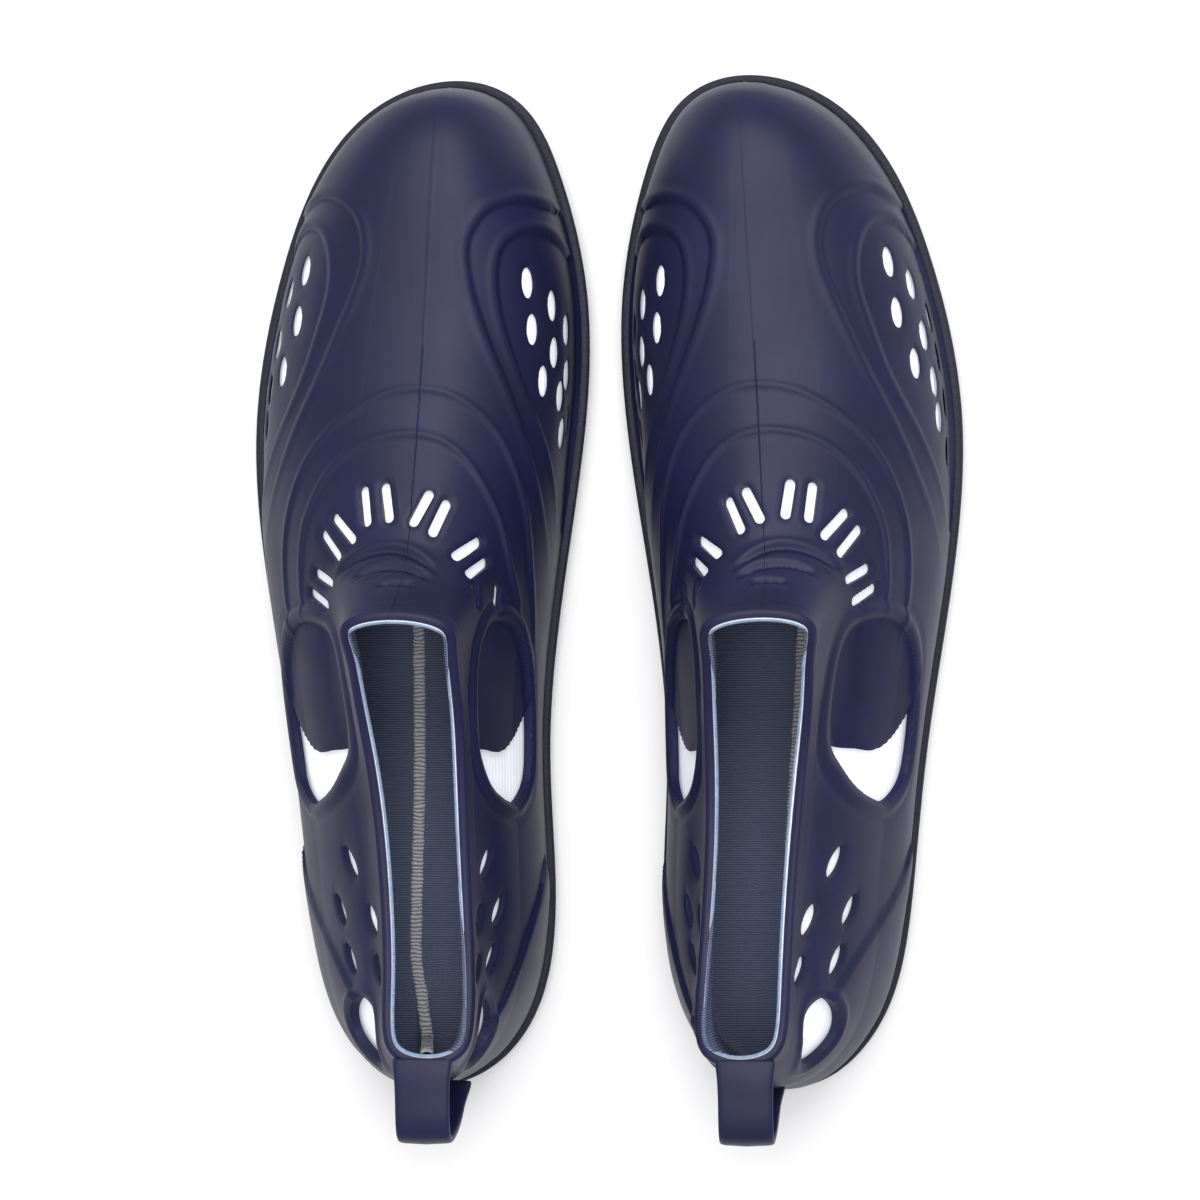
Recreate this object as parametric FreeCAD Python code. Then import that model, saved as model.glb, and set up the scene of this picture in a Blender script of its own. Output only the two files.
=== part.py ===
"""A pair of moulded slip-on water shoes, in millimetres, +Z up and toes towards +Y.

Each shoe is a rubber outsole, an elastomer cage upper moulded in one piece, a heel pull
loop, a foam footbed, and a textile sock in two halves joined by a flat overlock seam.
One shoe is worked out in its own frame (x towards the other shoe, y towards the toe,
origin on the floor behind the heel) and its twin is the mirror image across the YZ plane.
"""
import FreeCAD, Part
import math
import os

# ---- driving dimensions ------------------------------------------------------------
SHOE_LENGTH = 283.0
HALF_SPACING = 50.2           # from the middle of the pair to each shoe's own centre line
OUTSOLE_THICKNESS = 10.0
TOE_SPRING = 9.0              # lift of the sole at the tip of the toe
SPRING_START = 190.0          # the sole leaves the floor in front of this line
RIM_WIDTH = 2.2               # outsole rim that stands out all round the upper
SHELL_THICKNESS = 2.2
SOCK_GAP = 0.35               # between shell and sock
SOCK_THICKNESS = 1.2
FOOTBED_THICKNESS = 3.0
SEAM_WIDTH = 3.0
SEAM_THICKNESS = 0.8
SEAM_X = 5.0
COLLAR_REAR = 14.0
COLLAR_FRONT = 134.0
WALL_BULGE = 1.3              # outward swell of the side wall just above the outsole
END_WALL_RUN = 5.0            # plan distance in which the toe and heel walls reach full height

LOOP_WIDTH = 15.0
LOOP_X = 7.0
LOOP_CORNER = 5.0
LOOP_THICKNESS = 2.4
LOOP_REACH = 8.0              # how far the pull loop stands out behind the heel
LOOP_TOP = 81.0
LOOP_FOOT = 47.0
LOOP_ROOT_Y = 14.8
LOOP_FOOT_Y = 4.6
LOOP_SLANT = 14.0

# ---- shape of the shoe, at even steps from heel to toe -----------------------------
MEDIAL_EDGE = (0, 18.5, 31.5, 34.9, 33.7, 37.9, 44.2, 45.1, 38, 27.5, 9)
LATERAL_EDGE = (0, -17, -30, -35.7, -40, -46.9, -50.1, -43.8, -31.5, -13.5, 9)
CREST_X = (0, 4, 6.5, 7, 6, 3.5, 3, 5, 7, 8.5, 9)
CREST_HEIGHT = (0, 50, 62, 58, 60, 57, 48, 42, 37, 25, 0)
CROSS_SECTION_POWER = (1.7, 1.7, 1.7, 1.7, 1.75, 1.9, 2.2, 2.4, 2.4, 2.2, 2.0)
# ---- shape of the collar, at even steps from its rear to its front -----------------
COLLAR_MIDDLE = (8.5, 8.5, 8.3, 7.8, 6.8, 5.6, 4.4, 3.3, 2.6, 1.8, 1.0)
COLLAR_HALF_WIDTH = (0, 9.5, 12.8, 13.5, 13.5, 13.3, 13.3, 13.8, 14.3, 13.2, 0)
COLLAR_HEIGHT = (81, 80, 77, 72, 69, 68, 70, 76, 84, 90, 91)

STATIONS = 48                 # points round each contour
CONTOURS = (0, 0.03, 0.06, 0.1, 0.15, 0.2, 0.3, 0.4, 0.5, 0.6, 0.7, 0.8, 0.9, 1.0)
FAR_BELOW = -30.0
BLOCK_HEIGHT = 160.0
BLOCK_LENGTH = 400.0
BLOCK_START = -50.0
BLOCK_HALF_WIDTH = 90.0       # half width of the blocks that trim a shape

SOCK_CONTOURS = (0.06, 0.12, 0.2, 0.3, 0.4, 0.5, 0.6, 0.7, 0.8, 0.9, 0.97, 1.0)
SPRING_LINE = (SPRING_START, 205.0, 220.0, 240.0, 260.0, 283.0, 310.0)
SPRING_RATE = 2 * TOE_SPRING / (SHOE_LENGTH - SPRING_START) ** 2
TOE_SLOPE = FreeCAD.Vector(0, 1, SPRING_RATE * (SPRING_LINE[-1] - SPRING_START))
SEAM_SETBACK = 6.0            # seam's ends, inside the sole's outline
SOLE_MARGIN = 0.1             # between the halves of the sock's sole
WALL_MARGIN = 0.003           # between the halves of its wall, as a part of a turn

GROOVE_WIDTH = 2.0
GROOVE_DEPTH = 1.5
GROOVE_PITCH = 9.5
FIRST_GROOVE = 14.0
TREAD_DEPTH = 3.0
TREAD_INSET = 4.0
FOOTBED_INSET = 4.8
SOCK_SOLE_INSET = 6.6
DRAIN_RADIUS = 1.6
DRAINS = ((-14, 222), (6, 222), (26, 222), (-20, 198), (2, 198), (24, 198), (3, 30), (3, 55))


class Spline:
    """Natural cubic spline through values at even steps."""

    def __init__(self, values, step, start=0.0):
        self.values = [float(v) for v in values]
        self.step = step
        self.start = start
        count = len(values)
        curve = [0.0] * count
        ratio = [0.0] * count
        for i in range(1, count - 1):
            bend = 6 * (values[i - 1] - 2 * values[i] + values[i + 1]) / step ** 2
            pivot = 4 - ratio[i - 1]
            ratio[i] = 1 / pivot
            curve[i] = (bend - curve[i - 1]) / pivot
        for i in range(count - 2, 0, -1):
            curve[i] -= ratio[i] * curve[i + 1]
        self.curve = curve

    def __call__(self, place):
        last = len(self.values) - 2
        i = min(max(int((place - self.start) / self.step), 0), last)
        u = (place - self.start) / self.step - i
        v = 1 - u
        bow = (u ** 3 - u) * self.curve[i + 1] + (v ** 3 - v) * self.curve[i]
        return v * self.values[i] + u * self.values[i + 1] + bow * self.step ** 2 / 6


def lengthwise(values):
    """Spline over 0 (rear) to 1 (front)."""
    return Spline(values, 1.0 / (len(values) - 1))


def round_loop(near_side, far_side):
    """Spline over a closed loop: 0 at the rear, 1 at the front, 2 at the rear again."""
    loop = list(near_side) + list(far_side[-2:0:-1])
    spline = Spline(loop * 3, 2.0 / len(loop), start=-2.0)
    return lambda place: spline(place % 2.0)


edge_x = round_loop(MEDIAL_EDGE, LATERAL_EDGE)
crest_x = lengthwise(CREST_X)
crest_height = lengthwise(CREST_HEIGHT)
section_power = lengthwise(CROSS_SECTION_POWER)
collar_height = lengthwise(COLLAR_HEIGHT)
collar_x = round_loop(
    [middle + half for middle, half in zip(COLLAR_MIDDLE, COLLAR_HALF_WIDTH)],
    [middle - half for middle, half in zip(COLLAR_MIDDLE, COLLAR_HALF_WIDTH)],
)


def along(place):
    """Distance from the heel at a place between 0 (heel) and 1 (toe)."""
    return SHOE_LENGTH * (1 - math.cos(math.pi * place)) / 2


def place_of(y):
    """The inverse of along()."""
    return math.acos(min(max(1 - 2 * y / SHOE_LENGTH, -1), 1)) / math.pi


def spring(y):
    """Lift of the sole above the floor."""
    return TOE_SPRING * (max(y - SPRING_START, 0) / (SHOE_LENGTH - SPRING_START)) ** 2


def feather(y):
    """Height of the line where the upper meets the outsole."""
    return OUTSOLE_THICKNESS + spring(y)


def outline(round_place, inset):
    """Plan outline of the outsole, moved inwards by inset."""
    step = 0.001
    x = edge_x(round_place)
    y = along(round_place)
    dx = edge_x(round_place + step) - edge_x(round_place - step)
    dy = along(round_place + step) - along(round_place - step)
    size = math.hypot(dx, dy)
    return x - inset * dy / size, y + inset * dx / size


def collar(round_place):
    """Plan position of the collar's rim, and how far forward on the collar it is (0 to 1)."""
    turn = round_place % 2.0
    ahead = turn if turn <= 1 else 2 - turn
    forward = 1 - (1 - ahead) ** 2
    x = collar_x(forward if turn <= 1 else 2 - forward)
    y = COLLAR_REAR + (COLLAR_FRONT - COLLAR_REAR) * (1 - math.cos(math.pi * forward)) / 2
    return x, y, forward


def body_height(x, y):
    """Height of the upper above the feather line, without the neck round the collar."""
    place = place_of(y)
    middle = crest_x(place)
    if x > middle:
        width = edge_x(place) - middle
    else:
        width = middle - edge_x(2 - place)
    offset = min(abs(x - middle) / max(width - RIM_WIDTH, 1e-6), 1)
    return crest_height(place) * math.sqrt(max(1 - offset ** section_power(place), 0))


def height_near(x, y, rim_x, rim_y, neck):
    """Height above the feather line, with the neck that climbs to the collar's rim."""
    reach = 5 + 0.7 * max(neck, 0)
    closeness = max(1 - math.hypot(rim_x - x, rim_y - y) / reach, 0)
    return body_height(x, y) + neck * closeness ** 2.2


def upper(round_place, rise):
    """Point of the upper's outer surface: rise is 0 at the outsole and 1 at the collar."""
    base_x, base_y = outline(round_place, RIM_WIDTH)
    rim_x, rim_y, forward = collar(round_place)
    blend = (1 - math.cos(math.pi * rise)) / 2
    x = base_x + (rim_x - base_x) * blend
    y = base_y + (rim_y - base_y) * blend
    neck = collar_height(forward) - feather(rim_y) - body_height(rim_x, rim_y)
    foot = height_near(base_x, base_y, rim_x, rim_y, neck)
    short = max(1 - math.hypot(x - base_x, y - base_y) / END_WALL_RUN, 0)
    tuck = foot * (1 - math.sqrt(1 - short ** 2))
    z = feather(y) + height_near(x, y, rim_x, rim_y, neck) - tuck
    swell = WALL_BULGE * math.sin(math.pi * min(max((z - feather(y)) / 30, 0), 1))
    out_x = base_x - rim_x
    out_y = base_y - rim_y
    size = math.hypot(out_x, out_y)
    return FreeCAD.Vector(x + swell * out_x / size, y + swell * out_y / size, z)


def outward(round_place, rise):
    """Unit normal of the upper's outer surface."""
    step = 0.004
    low = max(rise - step, 0)
    high = min(rise + step, 1)
    across = upper(round_place + step, rise) - upper(round_place - step, rise)
    up = upper(round_place, high) - upper(round_place, low)
    return across.cross(up).normalize()


def closed_curve(points):
    curve = Part.BSplineCurve()
    count = len(points)
    curve.interpolate(
        Points=points, PeriodicFlag=True, Parameters=[i / count for i in range(count + 1)]
    )
    return Part.Wire(curve.toShape())


def at_depth(turn, rise, depth):
    """Point under the upper's outer surface: level with it where it meets the outsole."""
    normal = outward(turn, rise)
    if rise == 0:
        normal.z = 0
        normal.normalize()
    return upper(turn, rise) - normal * depth


def solid_of(faces):
    shell = Part.Shell(faces)
    shell.sewShape()
    solid = Part.Solid(shell)
    if solid.Volume < 0:
        solid.reverse()
    return solid


def upper_shell():
    """Skin between the outer surface and the lining side, from the outsole to the rim."""
    turns = [2.0 * i / STATIONS for i in range(STATIONS)]
    skins = []
    for depth in (0, SHELL_THICKNESS):
        skins.append([closed_curve([at_depth(t, rise, depth) for t in turns]) for rise in CONTOURS])
    faces = []
    for rims in skins:
        faces += Part.makeLoft(rims, False, False).Faces
    for end in (0, -1):
        faces += Part.makeRuledSurface(skins[0][end], skins[1][end]).Faces
    return solid_of(faces)


def patch(grid):
    surface = Part.BSplineSurface()
    surface.interpolate(grid)
    return surface


def sock_wall(first_turn, last_turn):
    """One half of the sock above its sole: a curved sheet from heel to toe."""
    depth = SHELL_THICKNESS + SOCK_GAP
    count = STATIONS // 2
    turns = [first_turn + (last_turn - first_turn) * i / count for i in range(count + 1)]
    surfaces = []
    for level in (depth, depth + SOCK_THICKNESS):
        grid = [[at_depth(t, rise, level) for t in turns] for rise in SOCK_CONTOURS]
        surfaces.append(patch(grid))
    faces = [surface.toShape() for surface in surfaces]
    edges = []
    for surface in surfaces:
        u0, u1, v0, v1 = surface.bounds()
        edges.append([surface.uIso(u0), surface.uIso(u1), surface.vIso(v0), surface.vIso(v1)])
    for outer, inner in zip(*edges):
        faces.append(Part.makeRuledSurface(outer.toShape(), inner.toShape()))
    return solid_of(faces)


def sole_slab(inset, low, high):
    """Slab with the shoe's plan outline, bent up at the toe, between two heights."""
    turns = [2.0 * i / STATIONS for i in range(STATIONS)]
    loop = []
    for turn in turns:
        x, y = outline(turn, inset)
        loop.append(FreeCAD.Vector(x, y, FAR_BELOW))
    prism = Part.Face(closed_curve(loop)).extrude(FreeCAD.Vector(0, 0, BLOCK_HEIGHT))
    start = FreeCAD.Vector(-BLOCK_HALF_WIDTH, BLOCK_START, 0)
    rise = [FreeCAD.Vector(-BLOCK_HALF_WIDTH, y, spring(y)) for y in SPRING_LINE]
    curve = Part.BSplineCurve()
    curve.interpolate(Points=rise, InitialTangent=FreeCAD.Vector(0, 1, 0), FinalTangent=TOE_SLOPE)
    levels = []
    for height in (low, high):
        lift = FreeCAD.Vector(0, 0, height)
        flat = Part.makeLine(start + lift, rise[0] + lift)
        bent = curve.toShape()
        bent.translate(lift)
        levels.append((flat, bent))
    climb = FreeCAD.Vector(0, 0, high - low)
    base = FreeCAD.Vector(0, 0, low)
    ends = [Part.makeLine(point + base, point + base + climb) for point in (start, rise[-1])]
    lower_wire = [levels[0][0], levels[0][1], ends[1], levels[1][1], levels[1][0], ends[0]]
    face = Part.Face(Part.Wire(Part.__sortEdges__(lower_wire)))
    slab = face.extrude(FreeCAD.Vector(2 * BLOCK_HALF_WIDTH, 0, 0))
    return prism.common(slab)


def slice_across(shape, low, width):
    """The part of a shape between two planes across the shoe."""
    corner = FreeCAD.Vector(low, BLOCK_START, FAR_BELOW)
    return shape.common(Part.makeBox(width, BLOCK_LENGTH, BLOCK_HEIGHT, corner))


def sock_half(side):
    floor = OUTSOLE_THICKNESS + FOOTBED_THICKNESS
    sole = sole_slab(SOCK_SOLE_INSET, floor, floor + SOCK_THICKNESS)
    width = 2 * BLOCK_HALF_WIDTH
    if side == "medial":
        wall = sock_wall(WALL_MARGIN, 1.0 - WALL_MARGIN)
        return Part.makeCompound([wall, slice_across(sole, SEAM_X + SOLE_MARGIN, width)])
    wall = sock_wall(1.0 + WALL_MARGIN, 2.0 - WALL_MARGIN)
    return Part.makeCompound([wall, slice_across(sole, SEAM_X - SOLE_MARGIN - width, width)])


def sock_seam():
    """Flat overlock strip along the middle of the sock's sole."""
    floor = OUTSOLE_THICKNESS + FOOTBED_THICKNESS + SOCK_THICKNESS
    strip = sole_slab(SOCK_SOLE_INSET + SEAM_SETBACK, floor, floor + SEAM_THICKNESS)
    return slice_across(strip, SEAM_X - SEAM_WIDTH / 2, SEAM_WIDTH)


def footbed():
    top = OUTSOLE_THICKNESS + FOOTBED_THICKNESS
    return sole_slab(FOOTBED_INSET, OUTSOLE_THICKNESS, top)


def outsole():
    rim = sole_slab(0, TREAD_DEPTH, OUTSOLE_THICKNESS)
    sole = rim.fuse(sole_slab(TREAD_INSET, 0, TREAD_DEPTH))
    cutters = []
    y = FIRST_GROOVE
    while y < SPRING_START:
        corner = FreeCAD.Vector(-BLOCK_HALF_WIDTH, y, -1)
        cutters.append(Part.makeBox(2 * BLOCK_HALF_WIDTH, GROOVE_WIDTH, 1 + GROOVE_DEPTH, corner))
        y += GROOVE_PITCH
    for x, y in DRAINS:
        cutters.append(Part.makeCylinder(DRAIN_RADIUS, 60, FreeCAD.Vector(x, y, FAR_BELOW)))
    return sole.cut(cutters)


def heel_pull_loop():
    """D-shaped strap behind the heel, moulded into the wall at its top and its foot."""
    bands = []
    for inset in (0, LOOP_THICKNESS):
        top = LOOP_TOP - inset
        back = -LOOP_REACH + inset
        foot = LOOP_FOOT + inset
        corner = LOOP_CORNER - inset
        start = FreeCAD.Vector(0, LOOP_ROOT_Y, top)
        turn_in = FreeCAD.Vector(0, back + corner, top)
        turn_mid = FreeCAD.Vector(0, back + corner * 0.2929, top - corner * 0.2929)
        turn_out = FreeCAD.Vector(0, back, top - corner)
        knee = FreeCAD.Vector(0, back, foot + LOOP_SLANT)
        end = FreeCAD.Vector(0, LOOP_FOOT_Y, foot)
        edges = [Part.makeLine(start, turn_in)]
        edges.append(Part.Arc(turn_in, turn_mid, turn_out).toShape())
        edges.append(Part.makeLine(turn_out, knee))
        edges.append(Part.makeLine(knee, end))
        bands.append(edges)
    outer, inner = bands
    caps = []
    for end in (0, -1):
        vertex = 0 if end == 0 else 1
        first = outer[end].Vertexes[vertex].Point
        second = inner[end].Vertexes[vertex].Point
        caps.append(Part.makeLine(first, second))
    face = Part.Face(Part.Wire(Part.__sortEdges__(outer + inner + caps)))
    strap = face.extrude(FreeCAD.Vector(LOOP_WIDTH, 0, 0))
    strap.translate(FreeCAD.Vector(LOOP_X - LOOP_WIDTH / 2, 0, 0))
    return strap


def build_shoe():
    return {
        "outsole": outsole(),
        "footbed": footbed(),
        "upper_shell": upper_shell(),
        "heel_pull_loop": heel_pull_loop(),
        "sock_medial_half": sock_half("medial"),
        "sock_lateral_half": sock_half("lateral"),
        "sock_seam": sock_seam(),
    }


def main():
    os.makedirs("parts", exist_ok=True)
    shoe = build_shoe()
    middle_y = (SHOE_LENGTH - LOOP_REACH) / 2
    for name, shape in shoe.items():
        left = shape.copy()
        left.translate(FreeCAD.Vector(-HALF_SPACING, -middle_y, 0))
        right = left.mirror(FreeCAD.Vector(0, 0, 0), FreeCAD.Vector(1, 0, 0))
        for side, placed in (("left", left), ("right", right)):
            box = placed.BoundBox
            print(side, name, placed.isValid(), len(placed.Solids), round(placed.Volume), box)
            placed.exportStep(f"parts/{side}_{name}.step")


main()
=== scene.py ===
"""A pair of moulded slip-on water shoes, in metres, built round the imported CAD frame.

The upper, sock, seam, pull loop and outsole of the left shoe are worked out in that shoe's
own frame, in millimetres: x towards the other shoe, y from heel to toe, z up from the floor.
place() moves a shape to its place in the pair, and mirrors it for the right shoe.
"""
import bmesh
import bpy
import math
import numpy as np
from mathutils import Matrix, Vector


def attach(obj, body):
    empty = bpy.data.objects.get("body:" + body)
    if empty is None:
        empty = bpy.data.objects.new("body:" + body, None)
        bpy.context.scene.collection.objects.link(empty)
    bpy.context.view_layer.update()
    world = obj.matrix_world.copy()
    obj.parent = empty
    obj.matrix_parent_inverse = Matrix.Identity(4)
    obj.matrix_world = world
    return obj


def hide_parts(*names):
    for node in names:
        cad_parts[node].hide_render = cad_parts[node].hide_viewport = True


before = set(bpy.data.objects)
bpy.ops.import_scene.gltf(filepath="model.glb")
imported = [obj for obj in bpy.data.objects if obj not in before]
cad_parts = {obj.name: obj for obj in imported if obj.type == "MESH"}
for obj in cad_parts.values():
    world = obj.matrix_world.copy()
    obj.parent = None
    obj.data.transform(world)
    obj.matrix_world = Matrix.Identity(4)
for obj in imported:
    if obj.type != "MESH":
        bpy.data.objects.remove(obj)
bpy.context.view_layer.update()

# ---- driving dimensions, in millimetres ----------------------------------------------
SHOE_LENGTH = 283.0
HALF_SPACING = 50.2
MIDDLE_Y = 137.5
OUTSOLE_THICKNESS = 10.0
TOE_SPRING = 9.0
SPRING_START = 190.0
RIM_WIDTH = 2.2
SHELL_THICKNESS = 2.1
RIM_THICKNESS = 1.6
RIM_RUN = 6.0                 # the walls thin towards the collar's edge over this distance
SOCK_DEPTH = 2.9              # sock's outer face under the upper's outer face
RIM_DEPTH = 1.8               # the same at the collar's edge
SOCK_THICKNESS = 0.8
FLOOR_HEIGHT = 13.4           # top of the footbed, under the sock
FLOOR_INSET = 5.4             # how far the sock's floor stays inside the outline
COLLAR_REAR = 14.0
COLLAR_FRONT = 134.0
WALL_BULGE = 1.3
BULGE_HEIGHT = 30.0           # height of the wall that bulges
NECK_REACH = 5.0              # plan distance from the collar in which the neck climbs
NECK_SLOPE = 0.7              # and how much further it reaches for each millimetre of climb
NECK_POWER = 2.2
TOE_START = 225.0             # the toe's own shape comes in from here, over TOE_RUN
TOE_RUN = 45.0
END_WALL_RUN = 5.0            # plan distance in which the toe and heel walls reach full height

MEDIAL_EDGE = (0, 18.5, 31.5, 34.9, 33.7, 37.9, 44.2, 45.1, 38, 27.5, 9)
LATERAL_EDGE = (0, -17, -30, -35.7, -40, -46.9, -50.1, -43.8, -31.5, -13.5, 9)
CREST_X = (0, 4, 6.5, 7, 6, 3.5, 3, 5, 7, 8.5, 9)
CREST_HEIGHT = (0, 50, 62, 58, 60, 57, 48, 42, 37, 25, 0)
CROSS_SECTION_POWER = (1.7, 1.7, 1.7, 1.7, 1.75, 1.9, 2.2, 2.4, 2.4, 2.2, 2.0)
COLLAR_MIDDLE = (8.5, 8.5, 8.3, 7.8, 6.8, 5.6, 4.4, 3.3, 2.6, 1.8, 1.0)
COLLAR_HALF_WIDTH = (0, 9.3, 11.8, 11.7, 11.5, 11.7, 12.5, 13.6, 14.3, 13.2, 0)
COLLAR_HEIGHT = (81, 80, 77, 72, 69, 68, 70, 76, 84, 90, 91)

BEYOND = 80.0                 # past any side of the shoe
AROUND = 600                  # grid of the upper: points round it, and rows up it
ROWS = 300
FAR = 1e3                     # more than any distance on the shoe

# ---- relief on the upper: points (x, y, z) near its surface ----------------------------
MEDIAL_PANEL = ((38, 246, 26), (31, 247, 41), (24, 245, 48), (20, 241, 50), (17, 235, 51),
                (18, 226, 52), (20, 217, 51), (24, 206, 50), (28, 195, 47), (32, 184, 44),
                (36, 168, 37), (39, 150, 27), (38, 135, 20))
MEDIAL_INNER_PANEL = ((42, 234, 18), (39, 238, 28), (34, 239, 38), (29, 237, 44), (26, 233, 47),
                      (25, 225, 48), (27, 214, 48), (30, 203, 45), (33, 194, 42), (37, 184, 36),
                      (41, 170, 27), (42, 156, 20))
LATERAL_PANEL = ((-34, 246, 22), (-32, 248, 31), (-26, 250, 38), (-19, 247, 45), (-15, 243, 49),
                 (-13, 236, 50), (-14, 228, 51), (-18, 218, 50), (-23, 207, 49), (-28, 197, 48),
                 (-33, 187, 45), (-38, 171, 38), (-42, 152, 26), (-41, 138, 20))
LATERAL_INNER_PANEL = ((-41, 236, 16), (-36, 240, 27), (-31, 242, 35), (-26, 239, 41),
                       (-24, 232, 45), (-24, 223, 46), (-27, 213, 45), (-31, 202, 44),
                       (-35, 193, 41), (-40, 184, 37), (-44, 170, 28), (-45, 156, 20))
OUTER_ARC = ((-36, 118, 44), (-37, 132, 43), (-37, 145, 43), (-36, 158, 45), (-31, 172, 49),
             (-24, 182, 52), (-14, 190, 55), (-3, 195, 56), (9, 195, 56), (17, 191, 54),
             (24, 184, 51), (29, 173, 47), (32, 160, 42), (33, 145, 38), (34, 130, 33),
             (34, 116, 30))
INNER_ARC = ((-31, 128, 50), (-31, 140, 50), (-30, 153, 50), (-28, 162, 52), (-22, 173, 55),
             (-13, 180, 57), (-2, 183, 58), (9, 182, 58), (17, 176, 57), (22, 168, 55),
             (26, 158, 51), (28, 147, 48), (30, 136, 42), (31, 124, 36))
BELLOWS = (((-17, 142, 60), (-12, 148, 63), (-4, 151, 65), (4, 149, 66), (11, 142, 68)),
           ((-12, 140, 66), (-7, 144, 67), (-1, 145, 68), (5, 143, 69), (9, 139, 70)),
           ((-5, 139, 73), (0, 140, 73), (5, 138, 73)))
MEDIAL_COUNTER = ((34, 66, 16), (32, 56, 27), (30, 47, 35), (25, 31, 45), (20, 21, 53), (14, 13, 63))
LATERAL_COUNTER = ((-36, 70, 16), (-33, 61, 27), (-29, 52, 36), (-21, 41, 48), (-13, 28, 59),
                   (-6, 17, 68))
WINDOW_RING = ((82, 39), (82.5, 45), (86, 52), (92, 57.5), (100, 62), (112, 64.5), (124, 63),
               (132, 55), (131, 44), (122, 36), (109, 32), (97, 30.5), (88, 32))
TONGUE = ((96.5, 53), (96, 47), (98, 41), (102.5, 36), (109, 31.5), (125, 30), (140, 40),
          (140, 66), (112, 68), (99, 62.5))
HEEL_WINDOW = ((30, 60), (26, 54), (19, 51.5), (12.5, 56), (13, 61), (18, 64.5), (25, 65))

FOREFOOT_VENTS = (
    (1, 225, 41), (1, 212, 40), (1, 198, 36), (1, 219, 32), (1, 206, 31), (1, 194, 26.5),
    (1, 213, 23.5), (1, 200, 22), (1, 184, 23), (1, 187, 17.5),
    (-1, 230, 37), (-1, 216, 38), (-1, 202, 35.5), (-1, 224, 30), (-1, 210, 29),
    (-1, 197, 27), (-1, 216, 21.5), (-1, 204, 20), (-1, 192, 19), (-1, 187, 26), (-1, 178, 19),
)
FOREFOOT_VENT_SIZE = (8.6, 4.2)
REAR_VENTS = ((66, 56), (53, 51), (51, 62), (40, 55), (38, 66))
REAR_VENT_SIZE = (10.0, 4.2)
REAR_VENT_SLANT = 40.0        # degrees up towards the heel, in the side view
# each pair of slots: x, y, slant in plan in degrees, length
SLOTS = (
    (22.0, 138.5, 80, 8.0), (19, 149, 28, 11.5), (8, 161.5, 62, 11.5),
    (-7.5, 164, 100, 11.5), (-19, 155, 138, 11.5), (-24, 141, 160, 10.5),
)
SLOT_WIDTH = 2.9
SLOT_SPACING = 6.0
INSTEP_TOP = 64.0             # slots are looked for below this height, clear of the neck

# heights of the relief's crests, depths of its grooves and steps
PANEL_STEP = 0.9
PANEL_LIP = 0.3
ARC_CREST = 0.45
OUTER_ARC_STEP = 0.35
INNER_ARC_STEP = 0.45
BELLOWS_GROOVE = 0.9
BELLOWS_RIDGE = 0.45
WINDOW_RIM = 0.8
WINDOW_GROOVE = 0.35
WINDOW_SINK = 1.1
HEEL_WINDOW_RIM = 0.7
COUNTER_STEP = 1.1
HOLE_EDGE_DROP = 0.35
HOLE_LIP = 0.2
COLLAR_BAND = 0.45
COLLAR_ROUNDING = 0.9
PARTING_LINE = 0.16
PARTING_START = 118.0         # the parting line runs from here to the toe
COLLAR_BAND_WIDTH = 6.2

# ---- pull loop, seam and outsole ---------------------------------------------------------
LOOP_X = 7.0
LOOP_HALF_WIDTH = 7.3
LOOP_HALF_THICKNESS = 1.2
LOOP_ROUTE = ((15.2, 79.4), (11, 80.4), (5, 80.3), (-1, 79.9), (-5.0, 78.2), (-6.8, 74.4),
              (-6.6, 69), (-5.4, 62), (-3.2, 55.5), (-0.3, 51), (2.6, 47.6), (5.2, 45.6))
SEAM_FRONT = 236.0            # toe end of the seam
SEAM_HALF_WIDTH = 1.7
SEAM_DOME = 0.75
SEAM_LOOP_PITCH = 1.15
# outsole's side wall: height, inset from the outline
SOLE_SIDE = ((9.7, 3.4), (10.05, 2.6), (10.1, 1.4), (9.95, 0.6), (9.5, 0.12), (8.9, 0.0),
             (8.3, 0.15), (8.0, 0.7), (7.7, 0.75), (7.4, 0.35), (6.6, 0.3), (5, 0.75), (3.4, 1.5),
             (2.2, 2.2), (1.0, 2.9), (0.3, 3.4), (0.0, 4.0))
TOE_LIP = 0.7                 # how far the outsole stands out further at the toe
TREAD_PITCH = 9.5
TREAD_WAVE = 2.2
TREAD_WAVE_LENGTH = 16.0
TREAD_DEPTH = 1.7

# ---- floor and camera, in metres and radians ---------------------------------------------
FLOOR_REACH = 6.0
CAMERA_TARGET = (-0.0031, 0.1374 - MIDDLE_Y / 1000, 0.0)
CAMERA_DISTANCE = 1.2
CAMERA_LEAN = math.radians(6.1)
CAMERA_ROLL = math.radians(-0.41)
VIEW_WIDTH = 0.3415           # seen at the target
SENSOR_WIDTH = 36             # in millimetres


class Spline:
    """Natural cubic spline through values at even steps."""

    def __init__(self, values, step, start=0.0):
        self.values = np.array(values, float)
        self.step = step
        self.start = start
        count = len(values)
        system = np.eye(count)
        bend = np.zeros(count)
        for i in range(1, count - 1):
            system[i, i - 1:i + 2] = (1, 4, 1)
            second = self.values[i - 1] - 2 * self.values[i] + self.values[i + 1]
            bend[i] = 6 * second / step ** 2
        self.curve = np.linalg.solve(system, bend)

    def __call__(self, place):
        along_knots = (np.asarray(place, float) - self.start) / self.step
        i = np.clip(along_knots.astype(int), 0, len(self.values) - 2)
        u = along_knots - i
        v = 1 - u
        bow = (u ** 3 - u) * self.curve[i + 1] + (v ** 3 - v) * self.curve[i]
        return v * self.values[i] + u * self.values[i + 1] + bow * self.step ** 2 / 6


def lengthwise(values):
    """Curve through values at even steps from heel (0) to toe (1)."""
    return Spline(values, 1.0 / (len(values) - 1))


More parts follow.
